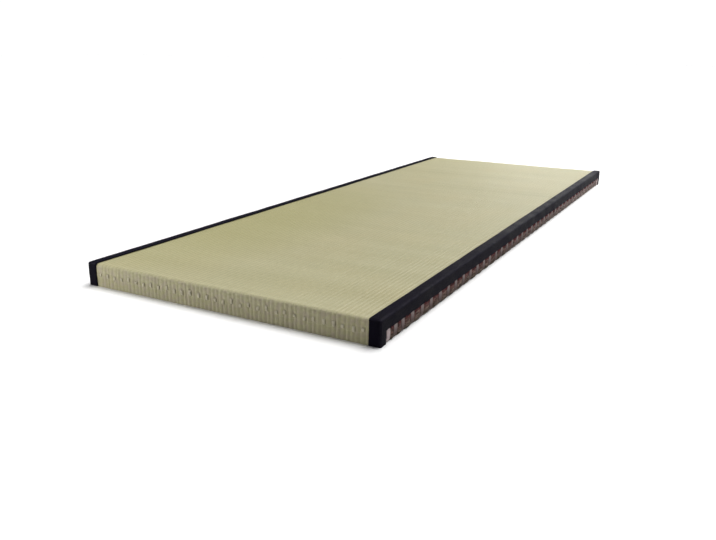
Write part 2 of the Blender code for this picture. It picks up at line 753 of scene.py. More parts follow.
@dataclass(frozen=True)
class BindingFinish(Finish):
    """Near-black cotton cloth with a faint blue sheen, paler in patches along its folds: partly wear,
    partly painted highlight.
    """

    cloth: Tone = Tone(12, 10, 19)
    faded: Tone = Tone(24, 20, 36)
    # paler along the folds: partly wear, partly painted highlight
    fold_wear_and_highlight: Tone = Tone(62, 59, 70)
    glow: Tone = Tone(190, 190, 230)
    thread: float = 0.0008
    thread_height: float = 0.00012
    fading: Blotches = Blotches(0.05, 4.0, 1.8)
    fading_range: tuple[float, float] = (0.2, 0.8)
    wear_and_highlight_patch: float = 0.012
    wear_and_highlight_share: float = 0.45
    roughness: tuple[float, float] = (0.44, 0.58)
    specular: float = 0.025
    sheen: float = 0.02
    sheen_roughness: float = 0.3

    def material(self) -> bpy.types.Material:
        """Builds the material.

        Returns:
            The material.
        """
        material, wiring, shader = self.start("binding_cloth")
        place = self.place(wiring)
        weave = self.weave_place(wiring)
        _, _, fold = wiring.parts(weave)
        threads = wiring.use(Effect.plain_weave(), Place=weave, Thread=self.thread)
        fading = self.fading.value(wiring, place)
        # paler patches along the folds: partly wear, partly painted highlight
        fold_wear_and_highlight_mask = wiring.use(
            Effect.wear_and_highlight(), Place=place, Edge=fold, Patch=self.wear_and_highlight_patch, Amount=self.wear_and_highlight_share
        )
        share = wiring.math("MULTIPLY", threads.outputs["Tone"], fading)
        colour = wiring.mix(share, self.cloth, self.faded)
        colour = wiring.mix(fold_wear_and_highlight_mask.outputs["Mask"], colour, self.fold_wear_and_highlight)
        wiring.put(colour, shader.inputs["Base Color"])
        rough = wiring.stretch(fading, *self.fading_range, *self.roughness)
        wiring.put(rough, shader.inputs["Roughness"])
        shader.inputs["Specular IOR Level"].default_value = self.specular
        shader.inputs["Sheen Weight"].default_value = self.sheen
        shader.inputs["Sheen Roughness"].default_value = self.sheen_roughness
        shader.inputs["Sheen Tint"].default_value = self.glow.linear()
        self.bump(wiring, shader, threads.outputs["Height"], self.thread_height)
        return material


@dataclass(frozen=True)
class StrawFinish(Finish):
    """Pressed rice straw, cut clean: red-brown under the binding, with painted shade that makes it grey and
    darker to the floor.

    Heights are shares of the board's open side, and it is painted paler towards the far end, as painted
    light.
    """

    warm: Tone = Tone(136, 88, 86)
    plain: Tone = Tone(122, 102, 92)
    # painted shade near the floor, also laid in patches over the side
    low: Tone = Tone(76, 74, 57)
    pale: Tone = Tone(178, 156, 146)
    # painted shade in the gaps between the straws
    gap: Tone = Tone(30, 24, 22)
    # painted light: paler towards the far end
    far_light_tone: Tone = Tone(206, 190, 184)
    warm_heights: tuple[float, float] = (0.35, 0.95)
    floor_shade_heights: tuple[float, float] = (0.05, 0.4)
    floor_shade_share: float = 0.85
    pale_from: float = 0.72
    pale_share: float = 0.7
    low_patches: Blotches = Blotches(0.02, 4.0, 2.2, 0.5, 1.0, 0.5)
    far_light_along: tuple[float, float] = (-0.35, 0.8)
    far_light_share: float = 0.55
    gap_heights: tuple[float, float] = (0.25, 0.6)
    gap_share: float = 0.85
    fibre_width: float = 0.0022
    fibre_length: float = 0.02
    fibre_height: float = 0.0009
    roughness: tuple[float, float] = (0.8, 0.95)
    specular: float = 0.2

    def material(self, height: float) -> bpy.types.Material:
        """Builds the material.

        Args:
            height: How high the board's open side is, up to the binding's hem.

        Returns:
            The material.
        """
        material, wiring, shader = self.start("pressed_straw")
        place = self.place(wiring)
        _, along, up = wiring.parts(place)
        share_up = wiring.math("DIVIDE", up, height)
        straws = wiring.use(Effect.fibres(), Place=place, Width=self.fibre_width, Length=self.fibre_length)
        tone = straws.outputs["Tone"]
        colour = wiring.mix(wiring.stretch(share_up, *self.warm_heights, 0.0, 1.0), self.plain, self.warm)
        # painted shade: grey and darker towards the floor
        colour = wiring.mix(
            wiring.stretch(share_up, *self.floor_shade_heights, self.floor_shade_share, 0.0), colour, self.low
        )
        pale = wiring.stretch(tone, self.pale_from, 1.0, 0.0, self.pale_share)
        colour = wiring.mix(pale, colour, self.pale)
        # the same dark tone in patches over the side
        colour = wiring.mix(self.low_patches.share(wiring, place), colour, self.low)
        # painted light: the straw grows paler towards the far end
        far_light_mask = wiring.stretch(along, *self.far_light_along, 0.0, self.far_light_share)
        colour = wiring.mix(far_light_mask, colour, self.far_light_tone)
        # painted shade between the straws
        gaps = wiring.stretch(straws.outputs["Height"], *self.gap_heights, self.gap_share, 0.0)
        colour = wiring.mix(gaps, colour, self.gap)
        wiring.put(colour, shader.inputs["Base Color"])
        wiring.put(wiring.stretch(tone, 0.0, 1.0, *self.roughness), shader.inputs["Roughness"])
        shader.inputs["Specular IOR Level"].default_value = self.specular
        self.bump(wiring, shader, straws.outputs["Height"], self.fibre_height)
        return material


@dataclass(frozen=True)
class CordFinish(Finish):
    """Twisted cord or twine: a pale yarn with darker turns, which are painted shade between its fibres."""

    name: str
    yarn: Tone
    # painted shade between the fibres, and the tone of the darker patches
    turn: Tone
    fibre_width: float = 0.0006
    fibre_length: float = 0.0025
    fibre_height: float = 0.0004
    turn_heights: tuple[float, float] = (0.3, 0.8)
    turn_share: float = 0.8
    dull_patches: Blotches = Blotches(0.03, 3.0, 2.0, 0.5, 1.0, 0.4)
    roughness: tuple[float, float] = (0.7, 0.9)

    def material(self) -> bpy.types.Material:
        """Builds the material.

        Returns:
            The material.
        """
        material, wiring, shader = self.start(self.name)
        place = self.place(wiring)
        fuzz = wiring.use(Effect.fibres(), Place=place, Width=self.fibre_width, Length=self.fibre_length)
        # painted shade between the fibres
        turns = wiring.stretch(fuzz.outputs["Height"], *self.turn_heights, self.turn_share, 0.0)
        colour = wiring.mix(turns, self.yarn, self.turn)
        colour = wiring.mix(self.dull_patches.share(wiring, place), colour, self.turn)
        wiring.put(self.with_shade(wiring, place, colour), shader.inputs["Base Color"])
        rough = wiring.stretch(fuzz.outputs["Tone"], 0.0, 1.0, *self.roughness)
        wiring.put(rough, shader.inputs["Roughness"])
        self.bump(wiring, shader, fuzz.outputs["Height"], self.fibre_height)
        return material

    def with_shade(self, wiring: Wiring, place: Socket, colour: Socket) -> Socket:
        """Returns the yarn's colour with its painted shade. Plain cord has none."""
        return colour


@dataclass(frozen=True)
class SideCordFinish(CordFinish):
    """Side cord, with painted shade that deepens towards the floor, and none next to the corners."""

    # painted shade, deepest towards the floor
    cord_shade: Tone = Tone(104, 84, 78)
    cord_shade_heights: tuple[float, float] = (0.34, 0.92)
    cord_shade_shares: tuple[float, float] = (0.9, 0.53)
    unshaded_length: float = 0.048
    unshaded_blend: float = 0.006

    def with_shade(self, wiring: Wiring, place: Socket, colour: Socket) -> Socket:
        """Adds the painted shade to the yarn's colour.

        Args:
            wiring: The material's wiring.
            place: The place in the row frame.
            colour: The yarn's colour, before its painted shade.

        Returns:
            The colour with its painted shade.
        """
        _, along, up = wiring.parts(place)
        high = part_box("binding_right")[1]
        low_end, high_end = (share * (high.z - BindingCloth.drop) for share in self.cord_shade_heights)
        unshaded_from = high.y - self.unshaded_length
        # painted shade: deepest towards the floor, none next to the corners
        cord_shade = wiring.stretch(up, low_end, high_end, *self.cord_shade_shares)
        from_middle = wiring.math("ABSOLUTE", along)
        inboard = wiring.stretch(from_middle, unshaded_from - self.unshaded_blend, unshaded_from, 1.0, 0.0)
        return wiring.mix(wiring.math("MULTIPLY", cord_shade, inboard), colour, self.cord_shade)


# ---------------------------------------------------------------- the mat


@dataclass
class SewingPlan:
    """Where the mat is sewn. The meshes are drawn in at these places, and the threads lie there."""

    end_pitch: float = 0.0223
    side_pitch: float = 0.0483
    side_margin: float = 0.1
    corner_margins: tuple[float, float] = (0.068, 0.036)
    end_height_share: float = 0.53
    end_rise: float = 0.0032
    end_stitch: tuple[float, float] = (0.006, 0.012)
    end_jitter: float = 0.0015
    side_jitter: float = 0.002
    seed: int = 5
    end_x: Array = field(init=False)
    end_z: Array = field(init=False)
    end_length: Array = field(init=False)
    side_y: Array = field(init=False)

    def __post_init__(self) -> None:
        """Works the places out from the cover's and the board's sizes."""
        draw = np.random.default_rng(self.seed)
        low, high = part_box("rush_cover")
        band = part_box("binding_right")[0].x
        self.end_x = self.spaced(-band, band, self.end_pitch, self.end_jitter, draw)
        self.end_z = low.z + (high.z - low.z) * self.end_height_share
        self.end_z += draw.uniform(-self.end_rise, self.end_rise, len(self.end_x))
        self.end_length = draw.uniform(*self.end_stitch, len(self.end_x))
        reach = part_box("binding_right")[1].y - self.side_margin + self.side_pitch / 2
        row = self.spaced(-reach, reach, self.side_pitch, self.side_jitter, draw)
        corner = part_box("binding_right")[1].y - np.array(self.corner_margins)
        self.side_y = np.concatenate([-corner[::-1], row, corner])

    @staticmethod
    def spaced(low: float, high: float, pitch: float, jitter: float, draw: np.random.Generator) -> Array:
        """Spaces stitches evenly between two ends, half a pitch in from each, a little off true.

        Args:
            low: Where the row starts.
            high: Where it ends.
            pitch: About how far apart the stitches are.
            jitter: The most that one is off its place.
            draw: The random draw.

        Returns:
            The stitches' places.
        """
        count = round((high - low) / pitch)
        step = (high - low) / count
        return low + step * (np.arange(count) + 0.5) + draw.uniform(-jitter, jitter, count)


@dataclass
class RushCover:
    """The woven rush sheet, ribbed along its length and folded down both short ends."""

    sewing: SewingPlan
    rib_pitch: float = 0.01085
    rib_depth: float = 0.00055
    end_rib_depth: float = 0.0006
    columns_per_rib: int = 8
    end_step: float = 0.003
    top_step: float = 0.022
    beside_fold: float = 0.0015
    fold_steps: int = 7
    fold_radius: float = 0.0075
    plumpness: tuple[float, float] = (0.55, 1.35)
    rib_squareness: float = 2.4
    rib_wander: float = 0.0005
    rib_wander_length: float = 0.13
    rib_wander_stretch: float = 0.3
    end_rib_wander: float = 0.0014
    swell: float = 0.00022
    swell_length: float = 0.24
    settled: float = 0.0003
    fuzz: float = 0.00005
    dent_depth: float = 0.0007
    dent_radius: float = 0.0032
    hole_length: float = 0.00224
    crease_width: float = 0.00224
    crease_length: float = 0.0064
    crease_share: float = 0.35
    valley_share: float = 0.2
    puff: float = 0.0006
    puff_clear: float = 0.00576
    puff_reach: float = 0.00832
    pressed_depth: float = 0.0005
    pressed_reach: tuple[float, float] = (-0.006, 0.001)
    board_gap: float = 0.0003
    inner_columns: int = 24
    seed: int = 21

    def stations(self) -> Array:
        """Lists the places along the cover, from the floor at one end to the floor at the other.

        Returns:
            One row for each: y, z, the outward normal's y and z, metres along, and how much of the
            place is top (0 on an end, 1 on the top).
        """
        low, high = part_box("rush_cover")
        radius, half, rise = self.fold_radius, high.y, high.z - self.fold_radius
        end_z = np.linspace(low.z, rise, round(rise / self.end_step))
        rows = [(-half, z, -1.0, 0.0, z, 0.0) for z in end_z]
        for turn in np.linspace(0, math.pi / 2, self.fold_steps + 1)[1:]:
            out = (-math.cos(turn), math.sin(turn))
            place = (-half + radius + radius * out[0], rise + radius * out[1])
            rows.append((*place, *out, rise + radius * turn, turn / (math.pi / 2)))
        top_start = rows[-1][4]
        flat = half - radius
        beside = flat - self.beside_fold
        top_y = np.linspace(-beside, beside, round(2 * flat / self.top_step))
        top = [(y, high.z, 0.0, 1.0, top_start + y + flat, 1.0) for y in top_y]
        whole = top_start * 2 + 2 * flat
        back = [(-y, z, -ny, nz, whole - s, share) for y, z, ny, nz, s, share in reversed(rows)]
        return np.array(rows + top + back)

    def heights(self, ribs: Array, across: Array, rows: Array) -> Array:
        """Gives the outer face's height over the cover's true face, which is 0 or less.

        Args:
            ribs: The rib count at each point, by row and column.
            across: X at each point.
            rows: The stations.

        Returns:
            The heights, by row and column.
        """
        draw = np.random.default_rng(self.seed)
        top = rows[:, 5][:, None]
        along = np.broadcast_to(rows[:, 4][:, None], across.shape)
        number = np.floor(ribs).astype(int)
        number -= number.min()
        plumpness = draw.uniform(*self.plumpness, number.max() + 1)[number]
        depth = self.end_rib_depth + (self.rib_depth - self.end_rib_depth) * top
        height = -depth * plumpness * np.abs(np.cos(np.pi * (ribs - np.floor(ribs)))) ** self.rib_squareness
        flat = np.stack([across.ravel(), along.ravel()], axis=1)
        swell = Waviness(self.swell_length, self.swell, self.seed + 1)
        height += swell.at(flat).reshape(across.shape) - self.settled
        height += draw.normal(0, self.fuzz, across.shape)
        start, full = (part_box("binding_right")[0].x + reach for reach in self.pressed_reach)
        height -= self.pressed_depth * smoothstep(start, full, np.abs(across))
        return height

    def dents(self, across: Array, rows: Array) -> Array:
        """Gives how deep the sewing draws in the ends of the cover.

        Args:
            across: X at each point, by row and column.
            rows: The stations.

        Returns:
            The depths, by row and column.
        """
        near = np.abs(across[..., None] - self.sewing.end_x)
        nearest = near.min(axis=-1)
        stitch = near.argmin(axis=-1)
        above = rows[:, 1][:, None] - self.sewing.end_z[stitch]
        from_hole = np.abs(above) - self.sewing.end_length[stitch] / 2
        hole = bell(nearest, self.dent_radius) * bell(from_hole, self.hole_length)
        valley = bell(above, self.crease_length)
        crease = bell(nearest, self.crease_width) * valley
        between = 1 - bell(nearest, self.puff_clear)
        ends = 1 - rows[:, 5][:, None]
        return ends * (
            self.dent_depth * (hole + self.crease_share * crease + self.valley_share * valley)
            - self.puff * between * bell(above, self.puff_reach)
        )

    def build(self, finish: RushFinish) -> bpy.types.Object:
        """Builds the cover.

        Args:
            finish: The rush's finish.

        Returns:
            The cover, dressed and riding on the mat.
        """
        low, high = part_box("rush_cover")
        rows = self.stations()
        draw = np.random.default_rng(self.seed + 2)
        count = round((high.x - low.x) / self.rib_pitch * self.columns_per_rib) + 1
        flat_x = np.linspace(low.x, high.x, count)
        ribs = np.broadcast_to(flat_x / self.rib_pitch, (len(rows), count))
        spots = np.arange(math.floor(ribs.min()), math.ceil(ribs.max()) + 1)
        loose = np.interp(ribs[0], spots, draw.uniform(-1, 1, len(spots))) * self.end_rib_wander
        place = np.stack([np.tile(flat_x, len(rows)), np.repeat(rows[:, 4], count)], axis=1)
        sway = Waviness(self.rib_wander_length, self.rib_wander, self.seed + 3)
        sway = sway.at(place * (self.rib_wander_stretch, 1)).reshape(ribs.shape)
        across = np.clip(flat_x + sway + loose * (1 - rows[:, 5])[:, None], low.x, high.x)
        height = self.heights(ribs, across, rows) - self.dents(across, rows)
        thickness = high.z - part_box("straw_board")[1].z - self.board_gap
        inner_x = np.linspace(high.x, low.x, self.inner_columns)
        every_x = np.concatenate([across, np.broadcast_to(inner_x, (len(rows), len(inner_x)))], axis=1)
        under = np.full((len(rows), len(inner_x)), -thickness)
        every_height = np.concatenate([np.maximum(height, self.board_gap - thickness), under], axis=1)
        rings = np.stack(
            [
                every_x,
                rows[:, 0][:, None] + rows[:, 2][:, None] * every_height,
                rows[:, 1][:, None] + rows[:, 3][:, None] * every_height,
            ],
            axis=-1,
        )
        points, faces = loft(rings)
        inner_ribs = np.broadcast_to(inner_x / self.rib_pitch, under.shape)
        weave = np.stack(
            [
                np.concatenate([ribs, inner_ribs], axis=1),
                np.broadcast_to(rows[:, 4][:, None], every_x.shape),
                np.broadcast_to(rows[:, 5][:, None], every_x.shape),
            ],
            axis=-1,
        )
        cover = new_piece("rush_cover_woven", points, faces, weave.reshape(-1, 3), sharp_deg=70)
        cover.data.materials.append(finish.material())
        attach(cover, ROOT_BODY)
        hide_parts("rush_cover")
        return cover


@dataclass
class StrawBoard:
    """The pressed board. Its long sides swell between the cords below the bindings."""

    sewing: SewingPlan
    side_step: float = 0.002
    length_step: float = 0.004
    under_columns: int = 20
    top_columns: int = 4
    edge_radius: float = 0.003
    edge_steps: int = 3
    edge_blend: float = 0.2
    end_radius: float = 0.008
    end_steps: int = 5
    swell: float = 0.0011
    foot_swell: float = 0.55
    drawn_in: float = 0.0024
    cord_valley: float = 0.0095
    hem_fade: tuple[float, float] = (-0.002, 0.003)
    flap_fade: float = 0.004
    roughness: float = 0.00035
    layer_height: float = 0.012
    layer_stretch: float = 0.35
    seed: int = 31

    def section(self) -> Array:
        """Lists the points round the board's section, as rows of x and z.

        Returns:
            The points, from the underside's left round through the right side and the top.
        """
        low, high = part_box("straw_board")
        radius = self.edge_radius
        corner = [
            (high.x - radius + radius * math.sin(turn), low.z + radius - radius * math.cos(turn))
            for turn in np.linspace(0, math.pi / 2, self.edge_steps + 1)[:-1]
        ]
        side_z = np.arange(low.z + radius, high.z - self.side_step / 2, self.side_step)
        right = corner + [(high.x, z) for z in side_z] + [(high.x, high.z)]
        left = [(-x, z) for x, z in reversed(right)]
        top = [(x, high.z) for x in np.linspace(high.x, low.x, self.top_columns + 2)[1:-1]]
        flat = high.x - radius
        under = [(x, low.z) for x in np.linspace(-flat, flat, self.under_columns)[1:-1]]
        return np.array(right + top + left + under)

    def sides(self, y: Array, z: Array) -> Array:
        """Gives how far the open part of a long side stands out.

        Args:
            y: Y of each point.
            z: Z of each point.

        Returns:
            The distance out for each point.
        """
        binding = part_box("binding_right")[1]
        bare = binding.z - BindingCloth.drop
        flap = binding.y - BindingCloth.corner_flap
        nearest = np.abs(y[:, None] - self.sewing.side_y).min(axis=1)
        drawn = bell(nearest, self.cord_valley)
        open_share = 1 - smoothstep(*(bare + fade for fade in self.hem_fade), z)
        open_share *= 1 - smoothstep(flap - self.flap_fade, flap, np.abs(y))
        belly = self.foot_swell + (1 - self.foot_swell) * np.sin(np.pi * np.clip(z / bare, 0, 1))
        out = self.swell * (1 - drawn) * belly - self.drawn_in * drawn
        layers = Waviness(self.layer_height, self.roughness, self.seed)
        return open_share * (out + layers.at(np.stack([y * self.layer_stretch, z], axis=1)))

    def build(self, finish: StrawFinish) -> bpy.types.Object:
        """Builds the board.

        Args:
            finish: The straw's finish.

        Returns:
            The board, dressed and riding on the mat.
        """
        low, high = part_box("straw_board")
        section = self.section()
        lengths = np.linspace(low.y, high.y, round((high.y - low.y) / self.length_step))
        turns = self.end_radius * (1 - np.cos(np.linspace(0, math.pi / 2, self.end_steps + 1)[1:-1]))
        lengths = np.sort(np.concatenate([lengths, low.y + turns, high.y - turns]))
        rings = np.empty((len(lengths), len(section), 3))
        rings[..., 0] = section[:, 0]
        rings[..., 1] = lengths[:, None]
        rings[..., 2] = section[:, 1]
        flat = rings.reshape(-1, 3)
        into_end = np.clip(np.abs(flat[:, 1]) - (high.y - self.end_radius), 0, self.end_radius)
        rounding = self.end_radius - np.sqrt(self.end_radius**2 - into_end**2)
        flat[:, 2] -= rounding * smoothstep(high.z - self.end_radius * 2, high.z, flat[:, 2])
        start, full = (high.x - self.edge_radius * share for share in (1, self.edge_blend))
        at_side = smoothstep(start, full, np.abs(flat[:, 0]))
        flat[:, 0] += np.sign(flat[:, 0]) * at_side * self.sides(flat[:, 1], flat[:, 2])
        points, faces = loft(rings)
        board = new_piece("straw_board_sewn", points, faces)
        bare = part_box("binding_right")[1].z - BindingCloth.drop
        board.data.materials.append(finish.material(bare))
        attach(board, ROOT_BODY)
        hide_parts("straw_board")
        return board


@dataclass
class BindingCloth:
    """One binding: cloth folded over a long edge, down the side, and round both corners."""

    side: Side
    sewing: SewingPlan
    thickness: float = 0.0013
    fold_radius: float = 0.005
    drop: float = 0.029
    corner_flap: float = 0.024
    flap_clear: float = 0.004
    length_step: float = 0.006
    cross_step: float = 0.0013
    fold_steps: int = 4
    hem_bevel: float = 0.0005
    wave_height: float = 0.00022
    wave_length: float = 0.09
    tuck_depth: float = 0.0006
    tuck_width: float = 0.003
    pucker_depth: float = 0.0008
    pucker_reach: float = 0.013
    pucker_width: float = 0.009
    puff_share: float = 0.35
    puff_clear: float = 0.02
    scallop: float = 0.0007
    scallop_width: float = 0.011
    scallop_reach: float = 0.004
    mitre_step: float = 0.0006
    mitre_blend: float = 0.0012
    mitre_sink: float = 0.6
    mitre_start: tuple[float, float] = (0.004, 0.009)
    seed: int = 41

    def line(self, low: float, high: float, step: float, fold_low: bool, fold_high: bool) -> Array:
        """Divides a stretch of cloth, more finely where it turns over a fold.

        Args:
            low: Where the stretch starts.
            high: Where it ends.
            step: The distance between divisions on the flat.
            fold_low: Whether the cloth turns over a fold at the start.
            fold_high: Whether it turns over a fold at the end.

        Returns:
            The places of the divisions.
        """
        into_fold = self.fold_radius * (1 - np.tan(np.linspace(0, math.pi / 4, self.fold_steps + 1)))
        start = low + into_fold[::-1] if fold_low else np.array([low])
        stop = high - into_fold if fold_high else np.array([high])
        count = max(1, round((stop[0] - start[-1]) / step))
        flat = np.linspace(start[-1], stop[0], count + 1)
        return np.concatenate([start[:-1], flat, stop[1:]])

    def panels(self) -> list[Array]:
        """Lays the cloth on the mat's sharp outer box, as if on the right-hand edge.

        Returns:
            Each panel's grid of points.
        """
        low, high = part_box("binding_right")
        hem = high.z - self.drop
        flap_y = high.y - self.corner_flap
        x = self.line(low.x, high.x, self.cross_step, False, True)
        flap = self.line(flap_y, high.y, self.cross_step * 2, False, True)
        middle = self.line(-flap_y, flap_y, self.length_step, False, False)
        y = np.concatenate([-flap[::-1], middle[1:-1], flap])
        upper = self.line(hem, high.z, self.cross_step, False, True)
        lower = self.line(low.z, hem, self.cross_step, False, False)
        z = np.concatenate([lower[:-1], upper])
        edge = np.array([high.x])
        grids = [(x, y, np.array([high.z])), (edge, y, upper)]
        for end in End:
            at_end = np.array([end.value * high.y])
            grids.append((x, at_end, z))
            grids.append((edge, np.sort(end.value * flap), lower))
        return [np.stack(np.meshgrid(*axes, indexing="ij"), axis=-1).squeeze() for axes in grids]

    def weave_places(self, sharp: Array) -> Array:
        """Works out where each point lies on the flat cloth.

        Args:
            sharp: Points on the sharp outer box.

        Returns:
            For each point, metres across the cloth, metres along it, and 1 on a fold or 0 off it.
        """
        low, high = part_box("binding_right")
        below = high.z - sharp[:, 2]
        on_side = sharp[:, 0] > high.x - SAME_PLACE
        on_end = np.abs(sharp[:, 1]) > high.y - SAME_PLACE
        girth = sharp[:, 0] - low.x + np.where(on_side & ~on_end, below, 0)
        along = sharp[:, 1] + np.sign(sharp[:, 1]) * np.where(on_end & ~on_side, below, 0)
        return np.stack([girth, along, self.fold_share(sharp)], axis=1)

    def fold_share(self, sharp: Array) -> Array:
        """Gives how near each point is to the line of a fold.

        Args:
            sharp: Points on the sharp outer box.

        Returns:
            1 on the line of a fold, falling to 0 where the fold ends.
        """
        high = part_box("binding_right")[1]
        reach = np.abs(sharp) - (np.array(high) - self.fold_radius)
        return np.clip(np.sort(reach / self.fold_radius, axis=1)[:, 1], 0, 1)

    def unevenness(self, sharp: Array) -> Array:
        """Gives how far each point stands out from the true surface.

        Args:
            sharp: Points on the sharp outer box.

        Returns:
            The distances, inwards where they are negative.
        """
        low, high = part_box("binding_right")
        x, y, z = sharp.T
        below = high.z - z
        out = Waviness(self.wave_length, self.wave_height, self.seed + self.side.value).at(sharp)
        out -= self.tuck_depth * (1 - smoothstep(0, self.tuck_width, x - low.x))
        on_side = x > high.x - self.fold_radius
        near_hem = 1 - smoothstep(0, self.pucker_reach, np.abs(self.drop - below))
        nearest = np.abs(y[:, None] - self.sewing.side_y).min(axis=1)
        puff = self.puff_share * (1 - bell(nearest, self.puff_clear))
        out += self.pucker_depth * on_side * near_hem * (puff - bell(nearest, self.pucker_width))
        on_end = np.abs(y) > high.y - self.fold_radius
        mitre = smoothstep(-self.mitre_blend, self.mitre_blend, below - (high.x - x)) - self.mitre_sink
        return out + self.mitre_step * on_end * mitre * smoothstep(*self.mitre_start, below)

    def surface(self) -> tuple[Array, Faces, Array]:
        """Shapes the cloth's outer face.

        Returns:
            The points, the faces and the points' places on the flat cloth.
        """
        grids = self.panels()
        every = np.concatenate([grid.reshape(-1, 3) for grid in grids])
        _, kept, index = np.unique(np.round(every, 6), axis=0, return_index=True, return_inverse=True)
        index, quads, start = index.ravel(), [], 0
        for grid in grids:
            own = index[start : start + grid.shape[0] * grid.shape[1]].reshape(grid.shape[:2])
            corners = (own[:-1, :-1], own[1:, :-1], own[1:, 1:], own[:-1, 1:])
            quads.append(np.stack(corners, axis=-1).reshape(-1, 4))
            start += own.size
        sharp = every[kept]
        high = np.array(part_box("binding_right")[1])
        reach = high - self.fold_radius
        core = np.clip(sharp, (-reach[0], -reach[1], -1.0), reach)
        heading = sharp - core
        heading /= np.linalg.norm(heading, axis=1)[:, None]
        rise = self.fold_radius + self.unevenness(sharp)
        points = core + heading * rise[:, None]
        nearest = np.abs(sharp[:, 1][:, None] - self.sewing.side_y).min(axis=1)
        on_side = sharp[:, 0] > high[0] - SAME_PLACE
        hem = on_side * bell(high[2] - self.drop - sharp[:, 2], self.scallop_reach)
        open_side = np.abs(sharp[:, 1]) < high[1] - self.corner_flap - self.flap_clear
        points[:, 2] += self.scallop * hem * bell(nearest, self.scallop_width) * open_side
        faces = np.concatenate(quads)
        corners = points[faces]
        across = np.cross(corners[:, 2] - corners[:, 0], corners[:, 3] - corners[:, 1])
        inward = np.einsum("ij,ij->i", across, heading[faces].mean(axis=1)) < 0
        if self.side is Side.LEFT:
            points[:, 0] *= -1
            inward = ~inward
        faces[inward] = faces[inward, ::-1]
        return points, faces.tolist(), self.weave_places(sharp)

    def build(self, finish: BindingFinish) -> bpy.types.Object:
        """Builds the binding.

        Args:
            finish: The cloth's finish.

        Returns:
            The binding, dressed and riding on the mat.
        """
        name = self.side.name.lower()
        cloth = new_piece(f"binding_cloth_{name}", *self.surface(), sharp_deg=75)
        body = cloth.modifiers.new("thickness", "SOLIDIFY")
        body.thickness = self.thickness
        body.offset = -1
        body.use_even_offset = False
        hems = cloth.modifiers.new("hems", "BEVEL")
        hems.width = self.hem_bevel
        hems.segments = 2
        hems.limit_method = "ANGLE"
        hems.angle_limit = math.radians(60)
        cloth.data.materials.append(finish.material())
        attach(cloth, ROOT_BODY)
        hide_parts(f"binding_{name}")
        return cloth


@dataclass
class SideCords:
    """The cords sewn down one long side below its binding, a few strands to each stitch."""

    side: Side
    sewing: SewingPlan
    cord_radius: float = 0.0013
    cord_pitch: float = 0.0029
    cords: int = 5
    sides: int = 7
    steps: int = 12
    top_above_hem: float = 0.004
    foot: float = 0.0022
    depth: float = 0.0019
    sink: float = 0.003
    tip_share: float = 0.03
    tautness: float = 0.35
    slant: float = 0.0012
    looseness: float = 0.0003
    girth_spread: tuple[float, float] = (0.9, 1.1)
    seed: int = 61

    def build(self, finish: CordFinish) -> bpy.types.Object:
        """Builds the cords.

        Args:
            finish: The cord's finish.

        Returns:
            The cords, dressed and riding on the mat.
        """
        draw = np.random.default_rng(self.seed + self.side.value)
        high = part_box("binding_right")[1]
        hem = high.z - BindingCloth.drop
        share = np.linspace(0, 1, self.steps)
        inside = np.clip(share, self.tip_share, 1 - self.tip_share)
        into = self.sink * (1 - np.sin(math.pi * inside) ** self.tautness)
        parts = []
        for stitch in self.sewing.side_y:
            lean = draw.uniform(-self.slant, self.slant)
            for cord in range(self.cords):
                y = stitch + (cord - (self.cords - 1) / 2) * self.cord_pitch
                wander = lean * (share - 0.5) + draw.uniform(-self.looseness, self.looseness, self.steps)
                x = high.x - self.depth - into + draw.uniform(-self.looseness, self.looseness)
                z = hem + self.top_above_hem + (self.foot - hem - self.top_above_hem) * share
                line = np.stack([self.side.value * x, y + wander, z], axis=1)
                parts.append(tube(line, self.cord_radius * draw.uniform(*self.girth_spread), self.sides))
        name = self.side.name.lower()
        cords = new_piece(f"side_cords_{name}", *joined(parts))
        cords.data.materials.append(finish.material())
        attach(cords, ROOT_BODY)
        return cords


